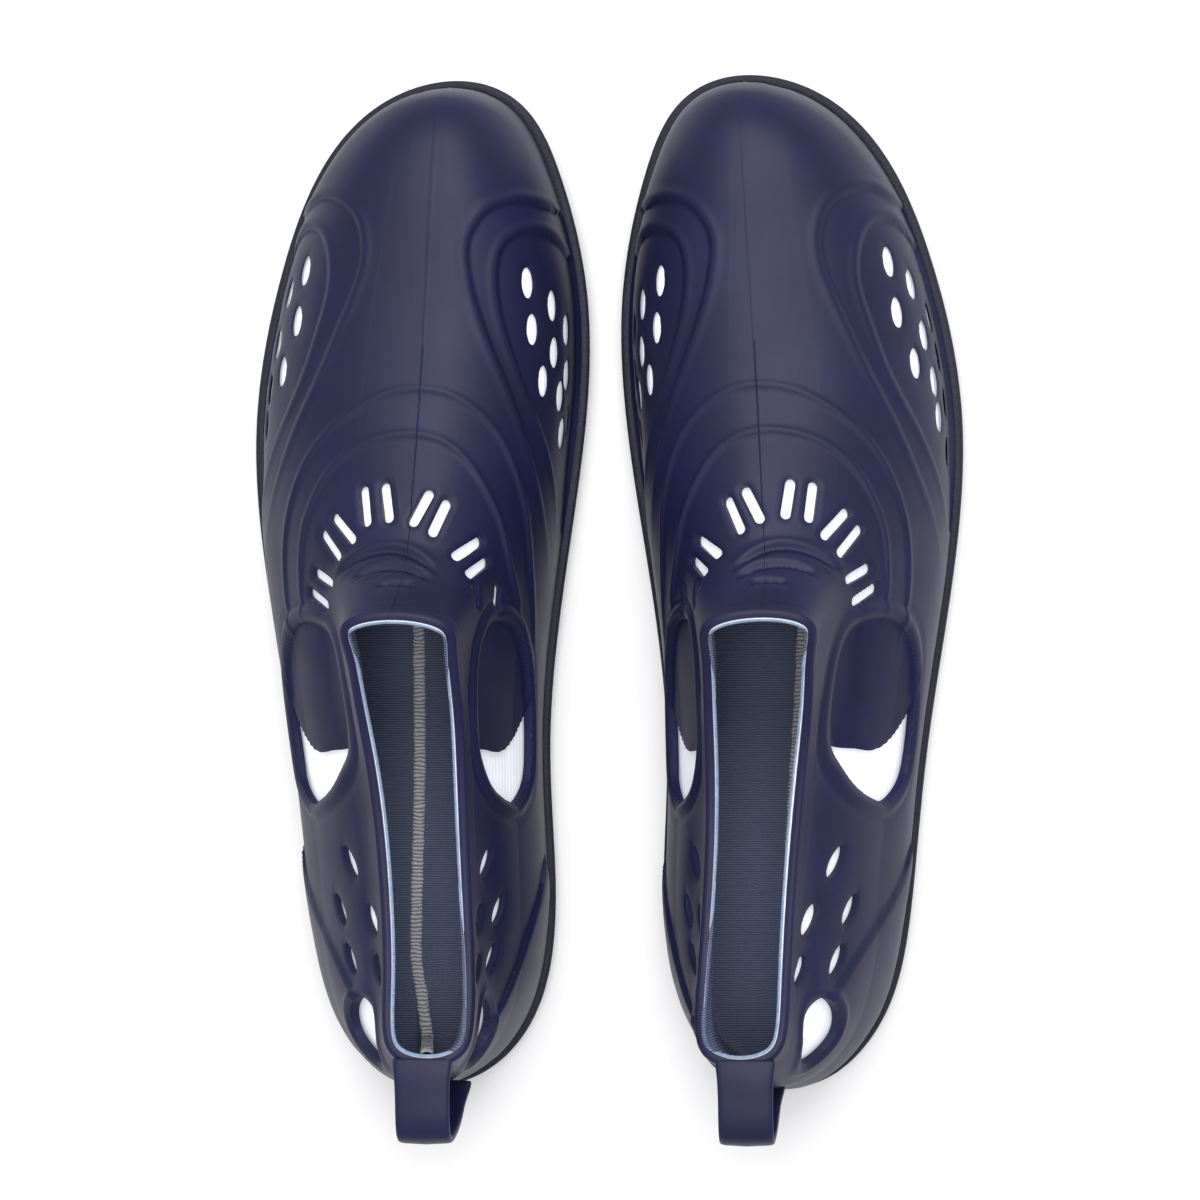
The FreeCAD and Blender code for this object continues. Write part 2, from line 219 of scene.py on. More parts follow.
def round_loop(near_side, far_side):
    """Closed curve: heel to toe on the near side (0 to 1), back on the far side (1 to 2)."""
    loop = list(near_side) + list(far_side[-2:0:-1])
    spline = Spline(loop * 3, 2.0 / len(loop), start=-2.0)
    return lambda place: spline(np.mod(place, 2.0))


edge_x = round_loop(MEDIAL_EDGE, LATERAL_EDGE)
crest_x = lengthwise(CREST_X)
crest_height = lengthwise(CREST_HEIGHT)
section_power = lengthwise(CROSS_SECTION_POWER)
collar_height = lengthwise(COLLAR_HEIGHT)
collar_x = round_loop(
    [middle + half for middle, half in zip(COLLAR_MIDDLE, COLLAR_HALF_WIDTH)],
    [middle - half for middle, half in zip(COLLAR_MIDDLE, COLLAR_HALF_WIDTH)],
)


def even_turns(around):
    """Even places round the shoe: 0 at the heel, 1 at the toe, up to 2."""
    return np.arange(around) * 2.0 / around


def along(turn):
    """How far along the shoe a place is, in steps that close up at both ends."""
    return SHOE_LENGTH * (1 - np.cos(np.pi * turn)) / 2


def place_of(y):
    """The place from 0 to 1 that along() puts at y."""
    return np.arccos(np.clip(1 - 2 * y / SHOE_LENGTH, -1, 1)) / np.pi


def spring(y):
    """How much the sole has risen at y, towards the toe."""
    return TOE_SPRING * (np.clip(y - SPRING_START, 0, None) / (SHOE_LENGTH - SPRING_START)) ** 2


def feather(y):
    """Height of the line where the upper meets the outsole."""
    return OUTSOLE_THICKNESS + spring(y)


def smooth(x):
    """Eased step from 0 at 0 to 1 at 1."""
    x = np.clip(x, 0, 1)
    return x * x * (3 - 2 * x)


def outline(turn, inset):
    """The outsole's outline in plan, moved inwards by inset."""
    step = 0.001
    x = edge_x(turn)
    y = along(turn)
    dx = edge_x(turn + step) - edge_x(turn - step)
    dy = along(turn + step) - along(turn - step)
    size = np.hypot(dx, dy)
    return x - inset * dy / size, y + inset * dx / size


def collar(turn):
    """The collar's edge in plan, and how far forward each place is, from 0 to 1."""
    turn = np.mod(turn, 2.0)
    ahead = np.where(turn <= 1, turn, 2 - turn)
    forward = 1 - (1 - ahead) ** 2
    x = collar_x(np.where(turn <= 1, forward, 2 - forward))
    y = COLLAR_REAR + (COLLAR_FRONT - COLLAR_REAR) * (1 - np.cos(np.pi * forward)) / 2
    return x, y, forward


def body_height(x, y):
    """Height of the shoe's body above the feather line, without the neck."""
    place = place_of(y)
    middle = crest_x(place)
    width = np.where(x > middle, edge_x(place) - middle, middle - edge_x(2 - place)) - RIM_WIDTH
    offset = np.clip(np.abs(x - middle) / np.maximum(width, 1e-6), 0, 1)
    return crest_height(place) * np.sqrt(np.maximum(1 - offset ** section_power(place), 0))


def height_near(x, y, rim_x, rim_y, neck):
    """Height above the feather line, with the neck that climbs to the collar's rim."""
    reach = NECK_REACH + NECK_SLOPE * np.maximum(neck, 0)
    closeness = np.clip(1 - np.hypot(rim_x - x, rim_y - y) / reach, 0, 1)
    return body_height(x, y) + neck * closeness ** NECK_POWER


def upper(turn, rise):
    """Points of the upper's outer surface: rise is 0 at the outsole and 1 at the collar."""
    base_x, base_y = outline(turn, RIM_WIDTH)
    rim_x, rim_y, forward = collar(turn)
    blend = (1 - np.cos(np.pi * rise)) / 2
    x = base_x + (rim_x - base_x) * blend
    y = base_y + (rim_y - base_y) * blend
    neck = collar_height(forward) - feather(rim_y) - body_height(rim_x, rim_y)
    foot = height_near(base_x, base_y, rim_x, rim_y, neck)
    short = np.clip(1 - np.hypot(x - base_x, y - base_y) / END_WALL_RUN, 0, 1)
    tuck = foot * (1 - np.sqrt(1 - short ** 2))
    z = feather(y) + height_near(x, y, rim_x, rim_y, neck) - tuck
    bulge = WALL_BULGE * (1 - 0.85 * smooth((y - TOE_START) / TOE_RUN))
    swell = bulge * np.sin(np.pi * np.clip((z - feather(y)) / BULGE_HEIGHT, 0, 1))
    out_x = base_x - rim_x
    out_y = base_y - rim_y
    size = np.hypot(out_x, out_y)
    return np.stack([x + swell * out_x / size, y + swell * out_y / size, z], -1)


def upper_grid(around, rises):
    """Points and outward normals of the upper on a grid: rows up, points round."""
    turns = even_turns(around)
    points = np.array([upper(turns, np.full(around, rise)) for rise in rises])
    across = np.roll(points, -1, 1) - np.roll(points, 1, 1)
    up = np.gradient(points, axis=0)
    normals = np.cross(across, up)
    normals /= np.linalg.norm(normals, axis=-1, keepdims=True) + 1e-12
    return points, normals


# ---- relief and openings ---------------------------------------------------------------
def smooth_curve(points, per_span):
    """Catmull-Rom curve through points, with per_span steps between two of them."""
    points = np.array(points, float)
    padded = np.vstack([2 * points[0] - points[1], points, 2 * points[-1] - points[-2]])
    out = []
    for i in range(len(points) - 1):
        a, b, c, d = padded[i:i + 4]
        for k in range(per_span):
            t = k / per_span
            bend = 2 * a - 5 * b + 4 * c - d
            twist = -a + 3 * b - 3 * c + d
            out.append(0.5 * (2 * b + (c - a) * t + bend * t * t + twist * t ** 3))
    out.append(points[-1])
    return np.array(out)


def closed_smooth_curve(points, per_span):
    """The same for points that close on themselves."""
    wrapped = [points[-1]] + list(points) + [points[0], points[1]]
    curve = smooth_curve(wrapped, per_span)
    return curve[per_span:per_span * (len(points) + 1)]


def snap(curve, points, normals):
    """Moves a curve's points onto the surface, along the normal of the nearest grid point."""
    flat = points.reshape(-1, 3)
    facing = normals.reshape(-1, 3)
    line = []
    for p in curve:
        k = np.argmin(((flat - p) ** 2).sum(1))
        line.append(p - facing[k] * ((p - flat[k]) @ facing[k]))
    line = np.array(line)
    for _ in range(8):
        line[1:-1] = 0.25 * line[:-2] + 0.5 * line[1:-1] + 0.25 * line[2:]
    return line


def distance_to(curve, points):
    """Distance to a curve, and the place on it from 0 to 1."""
    best = np.full(points.shape[:-1], 1e9)
    where = np.zeros(points.shape[:-1])
    total = len(curve) - 1
    for k in range(total):
        a = curve[k]
        ab = curve[k + 1] - a
        rel = points - a
        t = np.clip((rel @ ab) / (ab @ ab + 1e-9), 0, 1)
        d = np.linalg.norm(rel - t[..., None] * ab, axis=-1)
        where = np.where(d < best, (k + t) / total, where)
        best = np.minimum(d, best)
    return best, where


def inside_outline(corners, u, v):
    """Whether each point (u, v) is inside a closed outline."""
    inside = np.zeros(u.shape, bool)
    for a, b in zip(corners, np.roll(corners, -1, 0)):
        run = (b[0] - a[0]) * (v - a[1]) / (b[1] - a[1] + 1e-12)
        inside ^= ((a[1] > v) != (b[1] > v)) & (u < run + a[0])
    return inside


def depth_within(curve, closing, points):
    """Distance to a curve, positive inside the plan outline that the closing corners complete."""
    gap, where = distance_to(curve, points)
    corners = np.array(list(curve[:, :2]) + list(closing))
    return np.where(inside_outline(corners, points[..., 0], points[..., 1]), gap, -gap), where


def polygon_distance(outline_points, y, z):
    """Signed distance in the side view to a closed outline, negative inside it."""
    curve = closed_smooth_curve(outline_points, 8)
    best = np.full(y.shape, 1e9)
    for a, b in zip(curve, np.roll(curve, -1, 0)):
        ab = b - a
        t = np.clip(((y - a[0]) * ab[0] + (z - a[1]) * ab[1]) / (ab @ ab + 1e-9), 0, 1)
        best = np.minimum(best, np.hypot(y - a[0] - t * ab[0], z - a[1] - t * ab[1]))
    return np.where(inside_outline(curve, y, z), -best, best)


def laid_in(points, normals, k, run):
    """Offsets from grid point k, its normal, and the direction run laid into the surface there."""
    normal = normals.reshape(-1, 3)[k]
    run = run - normal * (run @ normal)
    return points - points.reshape(-1, 3)[k], normal, run / np.linalg.norm(run)


def oval_distance(points, normals, k, size, slant):
    """Signed distance to an oval hole round grid point k.

    Its long axis slants up to the heel in the side view.
    """
    lean = math.radians(slant)
    rel, normal, run = laid_in(points, normals, k, np.array([0.0, -math.cos(lean), math.sin(lean)]))
    a = rel @ run / (size[0] / 2)
    b = rel @ np.cross(normal, run) / (size[1] / 2)
    square = a * a + b * b
    ratio = np.sqrt(square)
    slope = (2 * a / size[0]) ** 2 + (2 * b / size[1]) ** 2
    spread = np.sqrt((square + 1e-9) / (slope + 1e-9))
    distance = (ratio - 1) * spread / np.maximum(ratio, 1)
    return np.where(np.abs(rel @ normal) > 9, FAR, distance)


def slot_distance(points, normals, centre, length, slant):
    """Signed distance to a straight slot with round ends, its run at an angle in plan."""
    flat = points.reshape(-1, 3)
    on_neck = np.where(flat[:, 2] < INSTEP_TOP, 0, 1e6)
    k = np.argmin(((flat[:, :2] - centre) ** 2).sum(1) + on_neck)
    lean = math.radians(slant)
    rel, _, run = laid_in(points, normals, k, np.array([math.cos(lean), math.sin(lean), 0.0]))
    half = (length - SLOT_WIDTH) / 2
    t = np.clip(rel @ run, -half, half)
    return np.linalg.norm(rel - t[..., None] * run, axis=-1) - SLOT_WIDTH / 2


def on_side(points, hand):
    """Whether each point is on the medial side (hand 1) or on the lateral side (hand -1)."""
    return (points[..., 0] - crest_x(place_of(points[..., 1]))) * hand > 0


def openings(points, normals):
    """Signed distance to the nearest opening, negative inside."""
    y = points[..., 1]
    z = points[..., 2]
    nearest = np.full(y.shape, FAR)
    own = {hand: on_side(points, hand) for hand in (1, -1)}
    vents = [(*vent, FOREFOOT_VENT_SIZE, 0.0) for vent in FOREFOOT_VENTS]
    for hand in (1, -1):
        vents += [(hand, *vent, REAR_VENT_SIZE, REAR_VENT_SLANT) for vent in REAR_VENTS]
    for hand, vent_y, vent_z, size, slant in vents:
        gap = np.where(own[hand], (y - vent_y) ** 2 + (z - vent_z) ** 2, 1e9)
        vent = oval_distance(points, normals, np.argmin(gap), size, slant)
        nearest = np.minimum(nearest, vent)
    ring = polygon_distance(WINDOW_RING, y, z)
    crescent = np.maximum(ring, -polygon_distance(TONGUE, y, z))
    windows = np.minimum(crescent, polygon_distance(HEEL_WINDOW, y, z))
    nearest = np.minimum(nearest, np.where(own[1] | own[-1], windows, FAR))
    for slot_x, slot_y, slant, length in SLOTS:
        lean = math.radians(slant)
        offset = np.array([-math.sin(lean), math.cos(lean)]) * SLOT_SPACING / 2
        for step in (-1, 1):
            centre = np.array([slot_x, slot_y]) + step * offset
            slot = slot_distance(points, normals, centre, length, slant)
            nearest = np.minimum(nearest, slot)
    return nearest


def crest(distance, width):
    """A rounded crest, 1 where the distance is 0 and nearly 0 past twice the width."""
    return np.exp(-(distance / width) ** 2)


def inner_side_fade(depth, width):
    """1 outside a line, falling off with the depth inside it."""
    return crest(np.clip(depth, 0, None), width)


def run_out(where, first, last):
    """1 along a line, falling to 0 over the first and the last share of it."""
    return smooth(where / first) * smooth((1 - where) / last)


def line_on(curve, points, normals):
    """A smooth line on the surface, through points near it."""
    return snap(smooth_curve(curve, 6), points, normals)


def panel_relief(points, normals):
    """The forefoot panels: sunk inside their outlines, with a low lip round them."""
    height = 0
    rear_fade = smooth((points[..., 1] - 140) / 40)
    for curve, hand in (
        (MEDIAL_PANEL, 1), (MEDIAL_INNER_PANEL, 1), (LATERAL_PANEL, -1), (LATERAL_INNER_PANEL, -1),
    ):
        line = line_on(curve, points, normals)
        closing = [(hand * BEYOND, line[-1][1]), (hand * BEYOND, line[0][1])]
        depth, _ = depth_within(line, closing, points)
        lip = PANEL_LIP * crest(depth + 2.2, 1.3)
        height = height + (lip - PANEL_STEP * smooth((depth + 1.2) / 1.9)) * rear_fade
    return height


def arc_relief(points, normals):
    """The two arcs over the vamp: a crest with a step down on the inner side."""
    height = 0
    for curve, step in ((OUTER_ARC, OUTER_ARC_STEP), (INNER_ARC, INNER_ARC_STEP)):
        depth, where = depth_within(line_on(curve, points, normals), [], points)
        ends = run_out(where, 0.12, 0.12)
        height = height + ARC_CREST * crest(depth, 1.0) * ends
        height -= step * smooth((depth + 0.5) / 2.0) * ends * inner_side_fade(depth, 14)
    return height


def bellows_relief(points, normals):
    """Grooves across the tongue with a ridge beside them."""
    height = 0
    for curve in BELLOWS:
        gap, where = distance_to(line_on(curve, points, normals), points)
        ends = run_out(where, 0.2, 0.2)
        height = height - BELLOWS_GROOVE * crest(gap, 1.0) * ends
        height += BELLOWS_RIDGE * crest(gap - 2.2, 1.2) * ends
    return height


def side_relief(points, normals):
    """The rims of the windows, the sunk side window and the heel counter, on both sides."""
    height = 0
    ring = polygon_distance(WINDOW_RING, points[..., 1], points[..., 2])
    heel = polygon_distance(HEEL_WINDOW, points[..., 1], points[..., 2])
    raised = WINDOW_RIM * crest(ring - 1.9, 1.7) - WINDOW_GROOVE * crest(ring - 4.6, 0.9)
    sunk = -WINDOW_SINK * smooth((0.4 - ring) / 1.6)
    for hand, counter in ((1, MEDIAL_COUNTER), (-1, LATERAL_COUNTER)):
        line = line_on(counter, points, normals)
        closing = [(7, -BEYOND), (hand * BEYOND, -BEYOND), (hand * BEYOND, line[0][1])]
        depth, where = depth_within(line, closing, points)
        step = COUNTER_STEP * smooth((depth + 1.2) / 2.4) * inner_side_fade(depth, 13)
        own = raised + sunk + HEEL_WINDOW_RIM * crest(heel - 1.8, 1.2) + step * run_out(where, 0.1, 0.15)
        height = height + np.where(on_side(points, hand), own, 0)
    return height


def relief(points, normals, holes):
    """Height of the moulded relief at each point of the upper."""
    height = panel_relief(points, normals) + arc_relief(points, normals)
    height += bellows_relief(points, normals) + side_relief(points, normals)
    height -= HOLE_EDGE_DROP * np.clip(1 - np.abs(holes) / 0.8, 0, 1) ** 2
    height += HOLE_LIP * crest(holes - 1.9, 0.9)
    return height


def rim_distance(points):
    """Distance up the surface from each point to the collar's edge."""
    steps = np.linalg.norm(np.diff(points, axis=0), axis=-1)
    to_rim = np.zeros(points.shape[:-1])
    to_rim[:-1] = steps[::-1].cumsum(0)[::-1]
    return to_rim


def cut_grid(values, field):
    """Quads of a closed-round grid, cut along the line where the field is zero.

    values holds any columns for each grid point, and cut points get theirs in between.
    """
    rows, count = field.shape
    verts = list(values.reshape(rows * count, -1))
    flat = field.reshape(-1)
    index = np.arange(rows * count).reshape(rows, count)
    a = index[:-1]
    b = np.roll(index, -1, 1)[:-1]
    c = np.roll(index, -1, 1)[1:]
    d = index[1:]
    quads = np.stack([a, b, c, d], -1).reshape(-1, 4)
    outside = flat[quads] > 0
    faces = quads[outside.all(1)].tolist()
    cuts = {}
    for quad in quads[outside.any(1) & ~outside.all(1)]:
        ring = []
        for i in range(4):
            p = int(quad[i])
            q = int(quad[(i + 1) % 4])
            if flat[p] > 0:
                ring.append(p)
            if (flat[p] > 0) != (flat[q] > 0):
                key = (min(p, q), max(p, q))
                if key not in cuts:
                    t = flat[key[0]] / (flat[key[0]] - flat[key[1]])
                    cuts[key] = len(verts)
                    verts.append(verts[key[0]] + t * (verts[key[1]] - verts[key[0]]))
                ring.append(cuts[key])
        if len(ring) > 2:
            faces.append(ring)
    return np.array(verts), faces


def close_skin(count, faces):
    """Faces of a closed wall: the skin, the same skin further in, and the rims between them."""
    edges = set()
    for face in faces:
        edges.update(zip(face, face[1:] + face[:1]))
    rims = [(b, a, a + count, b + count) for a, b in edges if (b, a) not in edges]
    return faces + [[i + count for i in face[::-1]] for face in faces] + sorted(rims)


# ---- building pieces ---------------------------------------------------------------------
def place(points, hand):
    """Moves points from a shoe's own frame to the pair's: hand is -1 left, 1 right."""
    points = np.array(points, float)
    points[:, 0] = -hand * points[:, 0] + hand * HALF_SPACING
    points[:, 1] -= MIDDLE_Y
    return points / 1000


def make_piece(name, verts, faces, hand, materials, body, nodes, finish_of=None):
    """A smooth mesh that rides a body and stands for CAD nodes."""
    mesh = bpy.data.meshes.new(name)
    if hand > 0:
        faces = [list(face)[::-1] for face in faces]
    mesh.from_pydata(place(verts, hand).tolist(), [], faces)
    mesh.polygons.foreach_set("use_smooth", [True] * len(mesh.polygons))
    for material in materials:
        mesh.materials.append(material)
    if finish_of is not None:
        mesh.polygons.foreach_set("material_index", finish_of)
    piece = bpy.data.objects.new(name, mesh)
    bpy.context.scene.collection.objects.link(piece)
    drop_loose(mesh)
    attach(piece, body)
    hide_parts(*nodes)
    return piece


def drop_loose(mesh):
    """Takes out the points that no face uses."""
    work = bmesh.new()
    work.from_mesh(mesh)
    loose = [v for v in work.verts if not v.link_faces]
    bmesh.ops.delete(work, geom=loose, context="VERTS")
    work.to_mesh(mesh)
    work.free()


def weld_points(piece):
    """Joins the points that fall together where a grid closes on itself."""
    piece.modifiers.new("weld", "WELD").merge_threshold = 0.00002


def strip_faces(rows, count, wrap):
    """Quads between the rows of a grid, closed round when wrap is true."""
    faces = []
    last = count if wrap else count - 1
    for i in range(rows - 1):
        for j in range(last):
            k = (j + 1) % count
            faces.append((i * count + j, i * count + k, (i + 1) * count + k, (i + 1) * count + j))
    return faces


# ---- materials ---------------------------------------------------------------------------
def new_material(name, color, roughness, specular):
    """A plain material, with its node tree and its shader."""
    material = bpy.data.materials.new(name)
    material.use_nodes = True
    shader = material.node_tree.nodes["Principled BSDF"]
    shader.inputs["Base Color"].default_value = (*color, 1)
    shader.inputs["Roughness"].default_value = roughness
    shader.inputs["Specular IOR Level"].default_value = specular
    return material, material.node_tree, shader


def add_node(tree, kind, **values):
    """Adds a node and sets its properties or inputs by name."""
    node = tree.nodes.new(kind)
    for key, value in values.items():
        if hasattr(node, key):
            setattr(node, key, value)
        else:
            node.inputs[key].default_value = value
    return node


def speckle(tree, shader, color, spread, scale):
    """Colour that drifts a little between two tones."""
    where = add_node(tree, "ShaderNodeTexCoord")
    noise = add_node(tree, "ShaderNodeTexNoise", Scale=scale, Detail=4)
    tree.links.new(where.outputs["Object"], noise.inputs["Vector"])
    ramp = add_node(tree, "ShaderNodeValToRGB")
    ramp.color_ramp.elements[0].position = 0.3
    ramp.color_ramp.elements[1].position = 0.7
    ramp.color_ramp.elements[0].color = (*[c * (1 - spread) for c in color], 1)
    ramp.color_ramp.elements[1].color = (*[min(c * (1 + spread), 1) for c in color], 1)
    tree.links.new(noise.outputs["Fac"], ramp.inputs["Fac"])
    tree.links.new(ramp.outputs["Color"], shader.inputs["Base Color"])
    return where


def bump_from(tree, shader, height, distance, strength, normal=None):
    """Fine bumps, laid over another bump's normal where one is given."""
    bump = add_node(tree, "ShaderNodeBump", Strength=strength, Distance=distance)
    tree.links.new(height, bump.inputs["Height"])
    if normal is not None:
        tree.links.new(normal, bump.inputs["Normal"])
    tree.links.new(bump.outputs["Normal"], shader.inputs["Normal"])
    return bump.outputs["Normal"]


def elastomer(name, specular):
    color = (0.0102, 0.0112, 0.046)
    material, tree, shader = new_material(name, color, 0.48, specular)
    where = speckle(tree, shader, color, 0.12, 35)
    fine = add_node(tree, "ShaderNodeTexNoise", Scale=2600, Detail=2)
    tree.links.new(where.outputs["Object"], fine.inputs["Vector"])
    normal = bump_from(tree, shader, fine.outputs["Fac"], 0.00005, 0.35)
    broad = add_node(tree, "ShaderNodeTexNoise", Scale=60, Detail=3)
    tree.links.new(where.outputs["Object"], broad.inputs["Vector"])
    bump_from(tree, shader, broad.outputs["Fac"], 0.00025, 0.4, normal)
    gloss = add_node(tree, "ShaderNodeMapRange")
    gloss.inputs["To Min"].default_value = 0.42
    gloss.inputs["To Max"].default_value = 0.56
    tree.links.new(broad.outputs["Fac"], gloss.inputs["Value"])
    tree.links.new(gloss.outputs["Result"], shader.inputs["Roughness"])
    return material


def outsole_rubber():
    color = (0.012, 0.013, 0.028)
    material, tree, shader = new_material("outsole_rubber_dark", color, 0.62, 0.4)
    where = speckle(tree, shader, color, 0.25, 60)
    grain = add_node(tree, "ShaderNodeTexVoronoi", Scale=1100)
    tree.links.new(where.outputs["Object"], grain.inputs["Vector"])
    bump_from(tree, shader, grain.outputs["Distance"], 0.00018, 0.7)
    return material


def sock_white_with_painted_glow():
    color = (0.9, 0.92, 0.98)
    material, tree, shader = new_material("sock_knit_white_painted_glow", color, 0.85, 0.2)
    # painted light: the white sock glows a little so it looks brightly lit where it sits in shade behind
    # the windows
    shader.inputs["Emission Color"].default_value = (0.9, 0.92, 1.0, 1)
    shader.inputs["Emission Strength"].default_value = 0.33
    where = speckle(tree, shader, color, 0.05, 400)
    knit = add_node(tree, "ShaderNodeTexWave", Scale=520, Distortion=1.5)
    tree.links.new(where.outputs["Object"], knit.inputs["Vector"])
    bump_from(tree, shader, knit.outputs["Fac"], 0.00015, 0.5)
    return material


def lining():
    """Ribbed grey-blue knit: fine ribs across the shoe with a cross grain."""
    color = (0.045, 0.062, 0.082)
    material, tree, shader = new_material("lining_knit_dark", color, 0.8, 0.25)
    where = add_node(tree, "ShaderNodeTexCoord")
    ribs = add_node(tree, "ShaderNodeTexWave", Scale=480, Distortion=1.4)
    ribs.bands_direction = "Y"
    ribs.inputs["Detail"].default_value = 1
    courses = add_node(tree, "ShaderNodeTexWave", Scale=900, Distortion=2.0)
    courses.bands_direction = "X"
    for wave in (ribs, courses):
        tree.links.new(where.outputs["Object"], wave.inputs["Vector"])
    mix = add_node(tree, "ShaderNodeMath", operation="MULTIPLY_ADD")
    mix.inputs[1].default_value = 0.35
    tree.links.new(courses.outputs["Fac"], mix.inputs[0])
    tree.links.new(ribs.outputs["Fac"], mix.inputs[2])
    ramp = add_node(tree, "ShaderNodeValToRGB")
    ramp.color_ramp.elements[0].color = (0.062, 0.078, 0.145, 1)
    ramp.color_ramp.elements[1].color = (0.19, 0.225, 0.345, 1)
    ramp.color_ramp.elements[1].position = 1.0
    tree.links.new(mix.outputs["Value"], ramp.inputs["Fac"])
    tree.links.new(ramp.outputs["Color"], shader.inputs["Base Color"])
    bump_from(tree, shader, mix.outputs["Value"], 0.0004, 0.8)
    return material


def cut_edge():
    color = (0.24, 0.32, 0.46)
    material, tree, shader = new_material("sock_cut_edge", color, 0.8, 0.2)
    speckle(tree, shader, color, 0.2, 900)
    return material


def thread():
    """Pale thread loops side by side over a darker band."""
    material, tree, shader = new_material("seam_thread_grey", (0.4, 0.41, 0.44), 0.85, 0.2)
    where = add_node(tree, "ShaderNodeTexCoord")
    loops = add_node(tree, "ShaderNodeTexWave", Scale=290, Distortion=5.0)
    loops.bands_direction = "Y"
    loops.inputs["Detail"].default_value = 3
    tree.links.new(where.outputs["Object"], loops.inputs["Vector"])
    ramp = add_node(tree, "ShaderNodeValToRGB")
    ramp.color_ramp.elements[0].color = (0.2, 0.21, 0.25, 1)
    ramp.color_ramp.elements[1].color = (0.62, 0.63, 0.67, 1)
    ramp.color_ramp.elements[1].position = 0.7
    tree.links.new(loops.outputs["Fac"], ramp.inputs["Fac"])
    tree.links.new(ramp.outputs["Color"], shader.inputs["Base Color"])
    bump_from(tree, shader, loops.outputs["Fac"], 0.0003, 0.7)
    return material


def foam():
    color = (0.05, 0.06, 0.08)
    material, tree, shader = new_material("footbed_foam_grey", color, 0.9, 0.2)
    where = speckle(tree, shader, color, 0.2, 300)
    cells = add_node(tree, "ShaderNodeTexVoronoi", Scale=900)
    tree.links.new(where.outputs["Object"], cells.inputs["Vector"])
    bump_from(tree, shader, cells.outputs["Distance"], 0.0002, 0.5)
    return material


# ---- the pieces of a shoe -----------------------------------------------------------------
def upper_mesh():
    """The upper as a closed wall with its relief and openings.

    Gives its points, its faces, and for each face 1 where it has the matt finish, else 0.
    """
    rises = np.linspace(0, 1, ROWS)
    points, normals = upper_grid(AROUND, rises)
    normals[0, :, 2] = 0
    holes = openings(points, normals)
    height = relief(points, normals, holes)
    to_rim = rim_distance(points)
    height += COLLAR_BAND * smooth((COLLAR_BAND_WIDTH - to_rim) / 1.4)
    height -= COLLAR_ROUNDING * np.clip(1 - to_rim / 1.2, 0, 1) ** 2
    column = np.abs(np.arange(AROUND) - AROUND // 2)
    y = points[..., 1]
    parting = np.where(column == 0, PARTING_LINE, 0)[None, :] * smooth((y - PARTING_START) / 10)
    height = height * smooth(rises / 0.03)[:, None] + parting
    surface = points + normals * height[..., None]
    wall = SHELL_THICKNESS - (SHELL_THICKNESS - RIM_THICKNESS) * smooth(1 - to_rim / RIM_RUN)
    lining_side = points - normals * wall[..., None]
    window = polygon_distance(WINDOW_RING, y, points[..., 2])
    holes[0] = FAR
    holes[-1] = FAR
    columns = np.concatenate([surface, lining_side, window[..., None]], -1)
    values, faces = cut_grid(columns, holes)
    verts = np.vstack([values[:, :3], values[:, 3:6]])
    sunk = values[:, 6] < 0.3
    count = len(values)
    faces = close_skin(count, faces)
    finish_of = [int(all(sunk[i % count] for i in face)) for face in faces]
    return verts, faces, finish_of


def inward_rows(turns, inset, steps):
    """Rows that run from the outline, at an inset, to the middle line: step, x, y, middle x."""
    edge_px, edge_py = outline(turns, inset)
    mirror = -np.arange(len(turns)) % len(turns)
    middle = (edge_px + edge_px[mirror]) / 2
    level = (edge_py + edge_py[mirror]) / 2
    for step in steps:
        yield step, edge_px + (middle - edge_px) * step, edge_py + (level - edge_py) * step, middle


def sock_rows():
    """Grid of the sock's outer face: down the wall from the collar, then in over the floor."""
    around = 240
    points, normals = upper_grid(around, np.linspace(0.03, 1, 120))
    depth = SOCK_DEPTH - (SOCK_DEPTH - RIM_DEPTH) * smooth(1 - rim_distance(points) / RIM_RUN)
    wall = (points - normals * depth[..., None])[::-1]
    top = points[-1]
    inward = -normals[-1] * np.array([1, 1, 0])
    inward /= np.linalg.norm(inward, axis=-1, keepdims=True)
    wall[0] = top + inward * RIM_DEPTH
    wall[0, :, 2] = top[:, 2] - 0.3
    wall[..., 2] = np.maximum(wall[..., 2], FLOOR_HEIGHT + spring(wall[..., 1]))
    rows = list(wall)
    for step, x, y, _ in inward_rows(even_turns(around), FLOOR_INSET, np.linspace(0, 1, 14)):
        z = FLOOR_HEIGHT + spring(y) + 1.6 * (1 - smooth(step / 0.15))
        rows.append(np.stack([x, y, z], -1))
    return np.array(rows)


def add_sock(hand, name, body, finishes):
    """The sock, white outside, with the lining inside and a pale cut edge at the collar."""
    grid = sock_rows()
    faces = [face[::-1] for face in strip_faces(*grid.shape[:2], True)]
    nodes = [f"{name}_sock_medial_half", f"{name}_sock_lateral_half"]
    piece = make_piece(
        f"{name}_sock", grid.reshape(-1, 3), faces, hand,
        [finishes["white"], finishes["lining"], finishes["edge"]], body, nodes,
    )
    weld_points(piece)
    wall = piece.modifiers.new("thickness", "SOLIDIFY")
    wall.thickness = SOCK_THICKNESS / 1000
    wall.offset = -1
    wall.material_offset = 1
    wall.material_offset_rim = 2


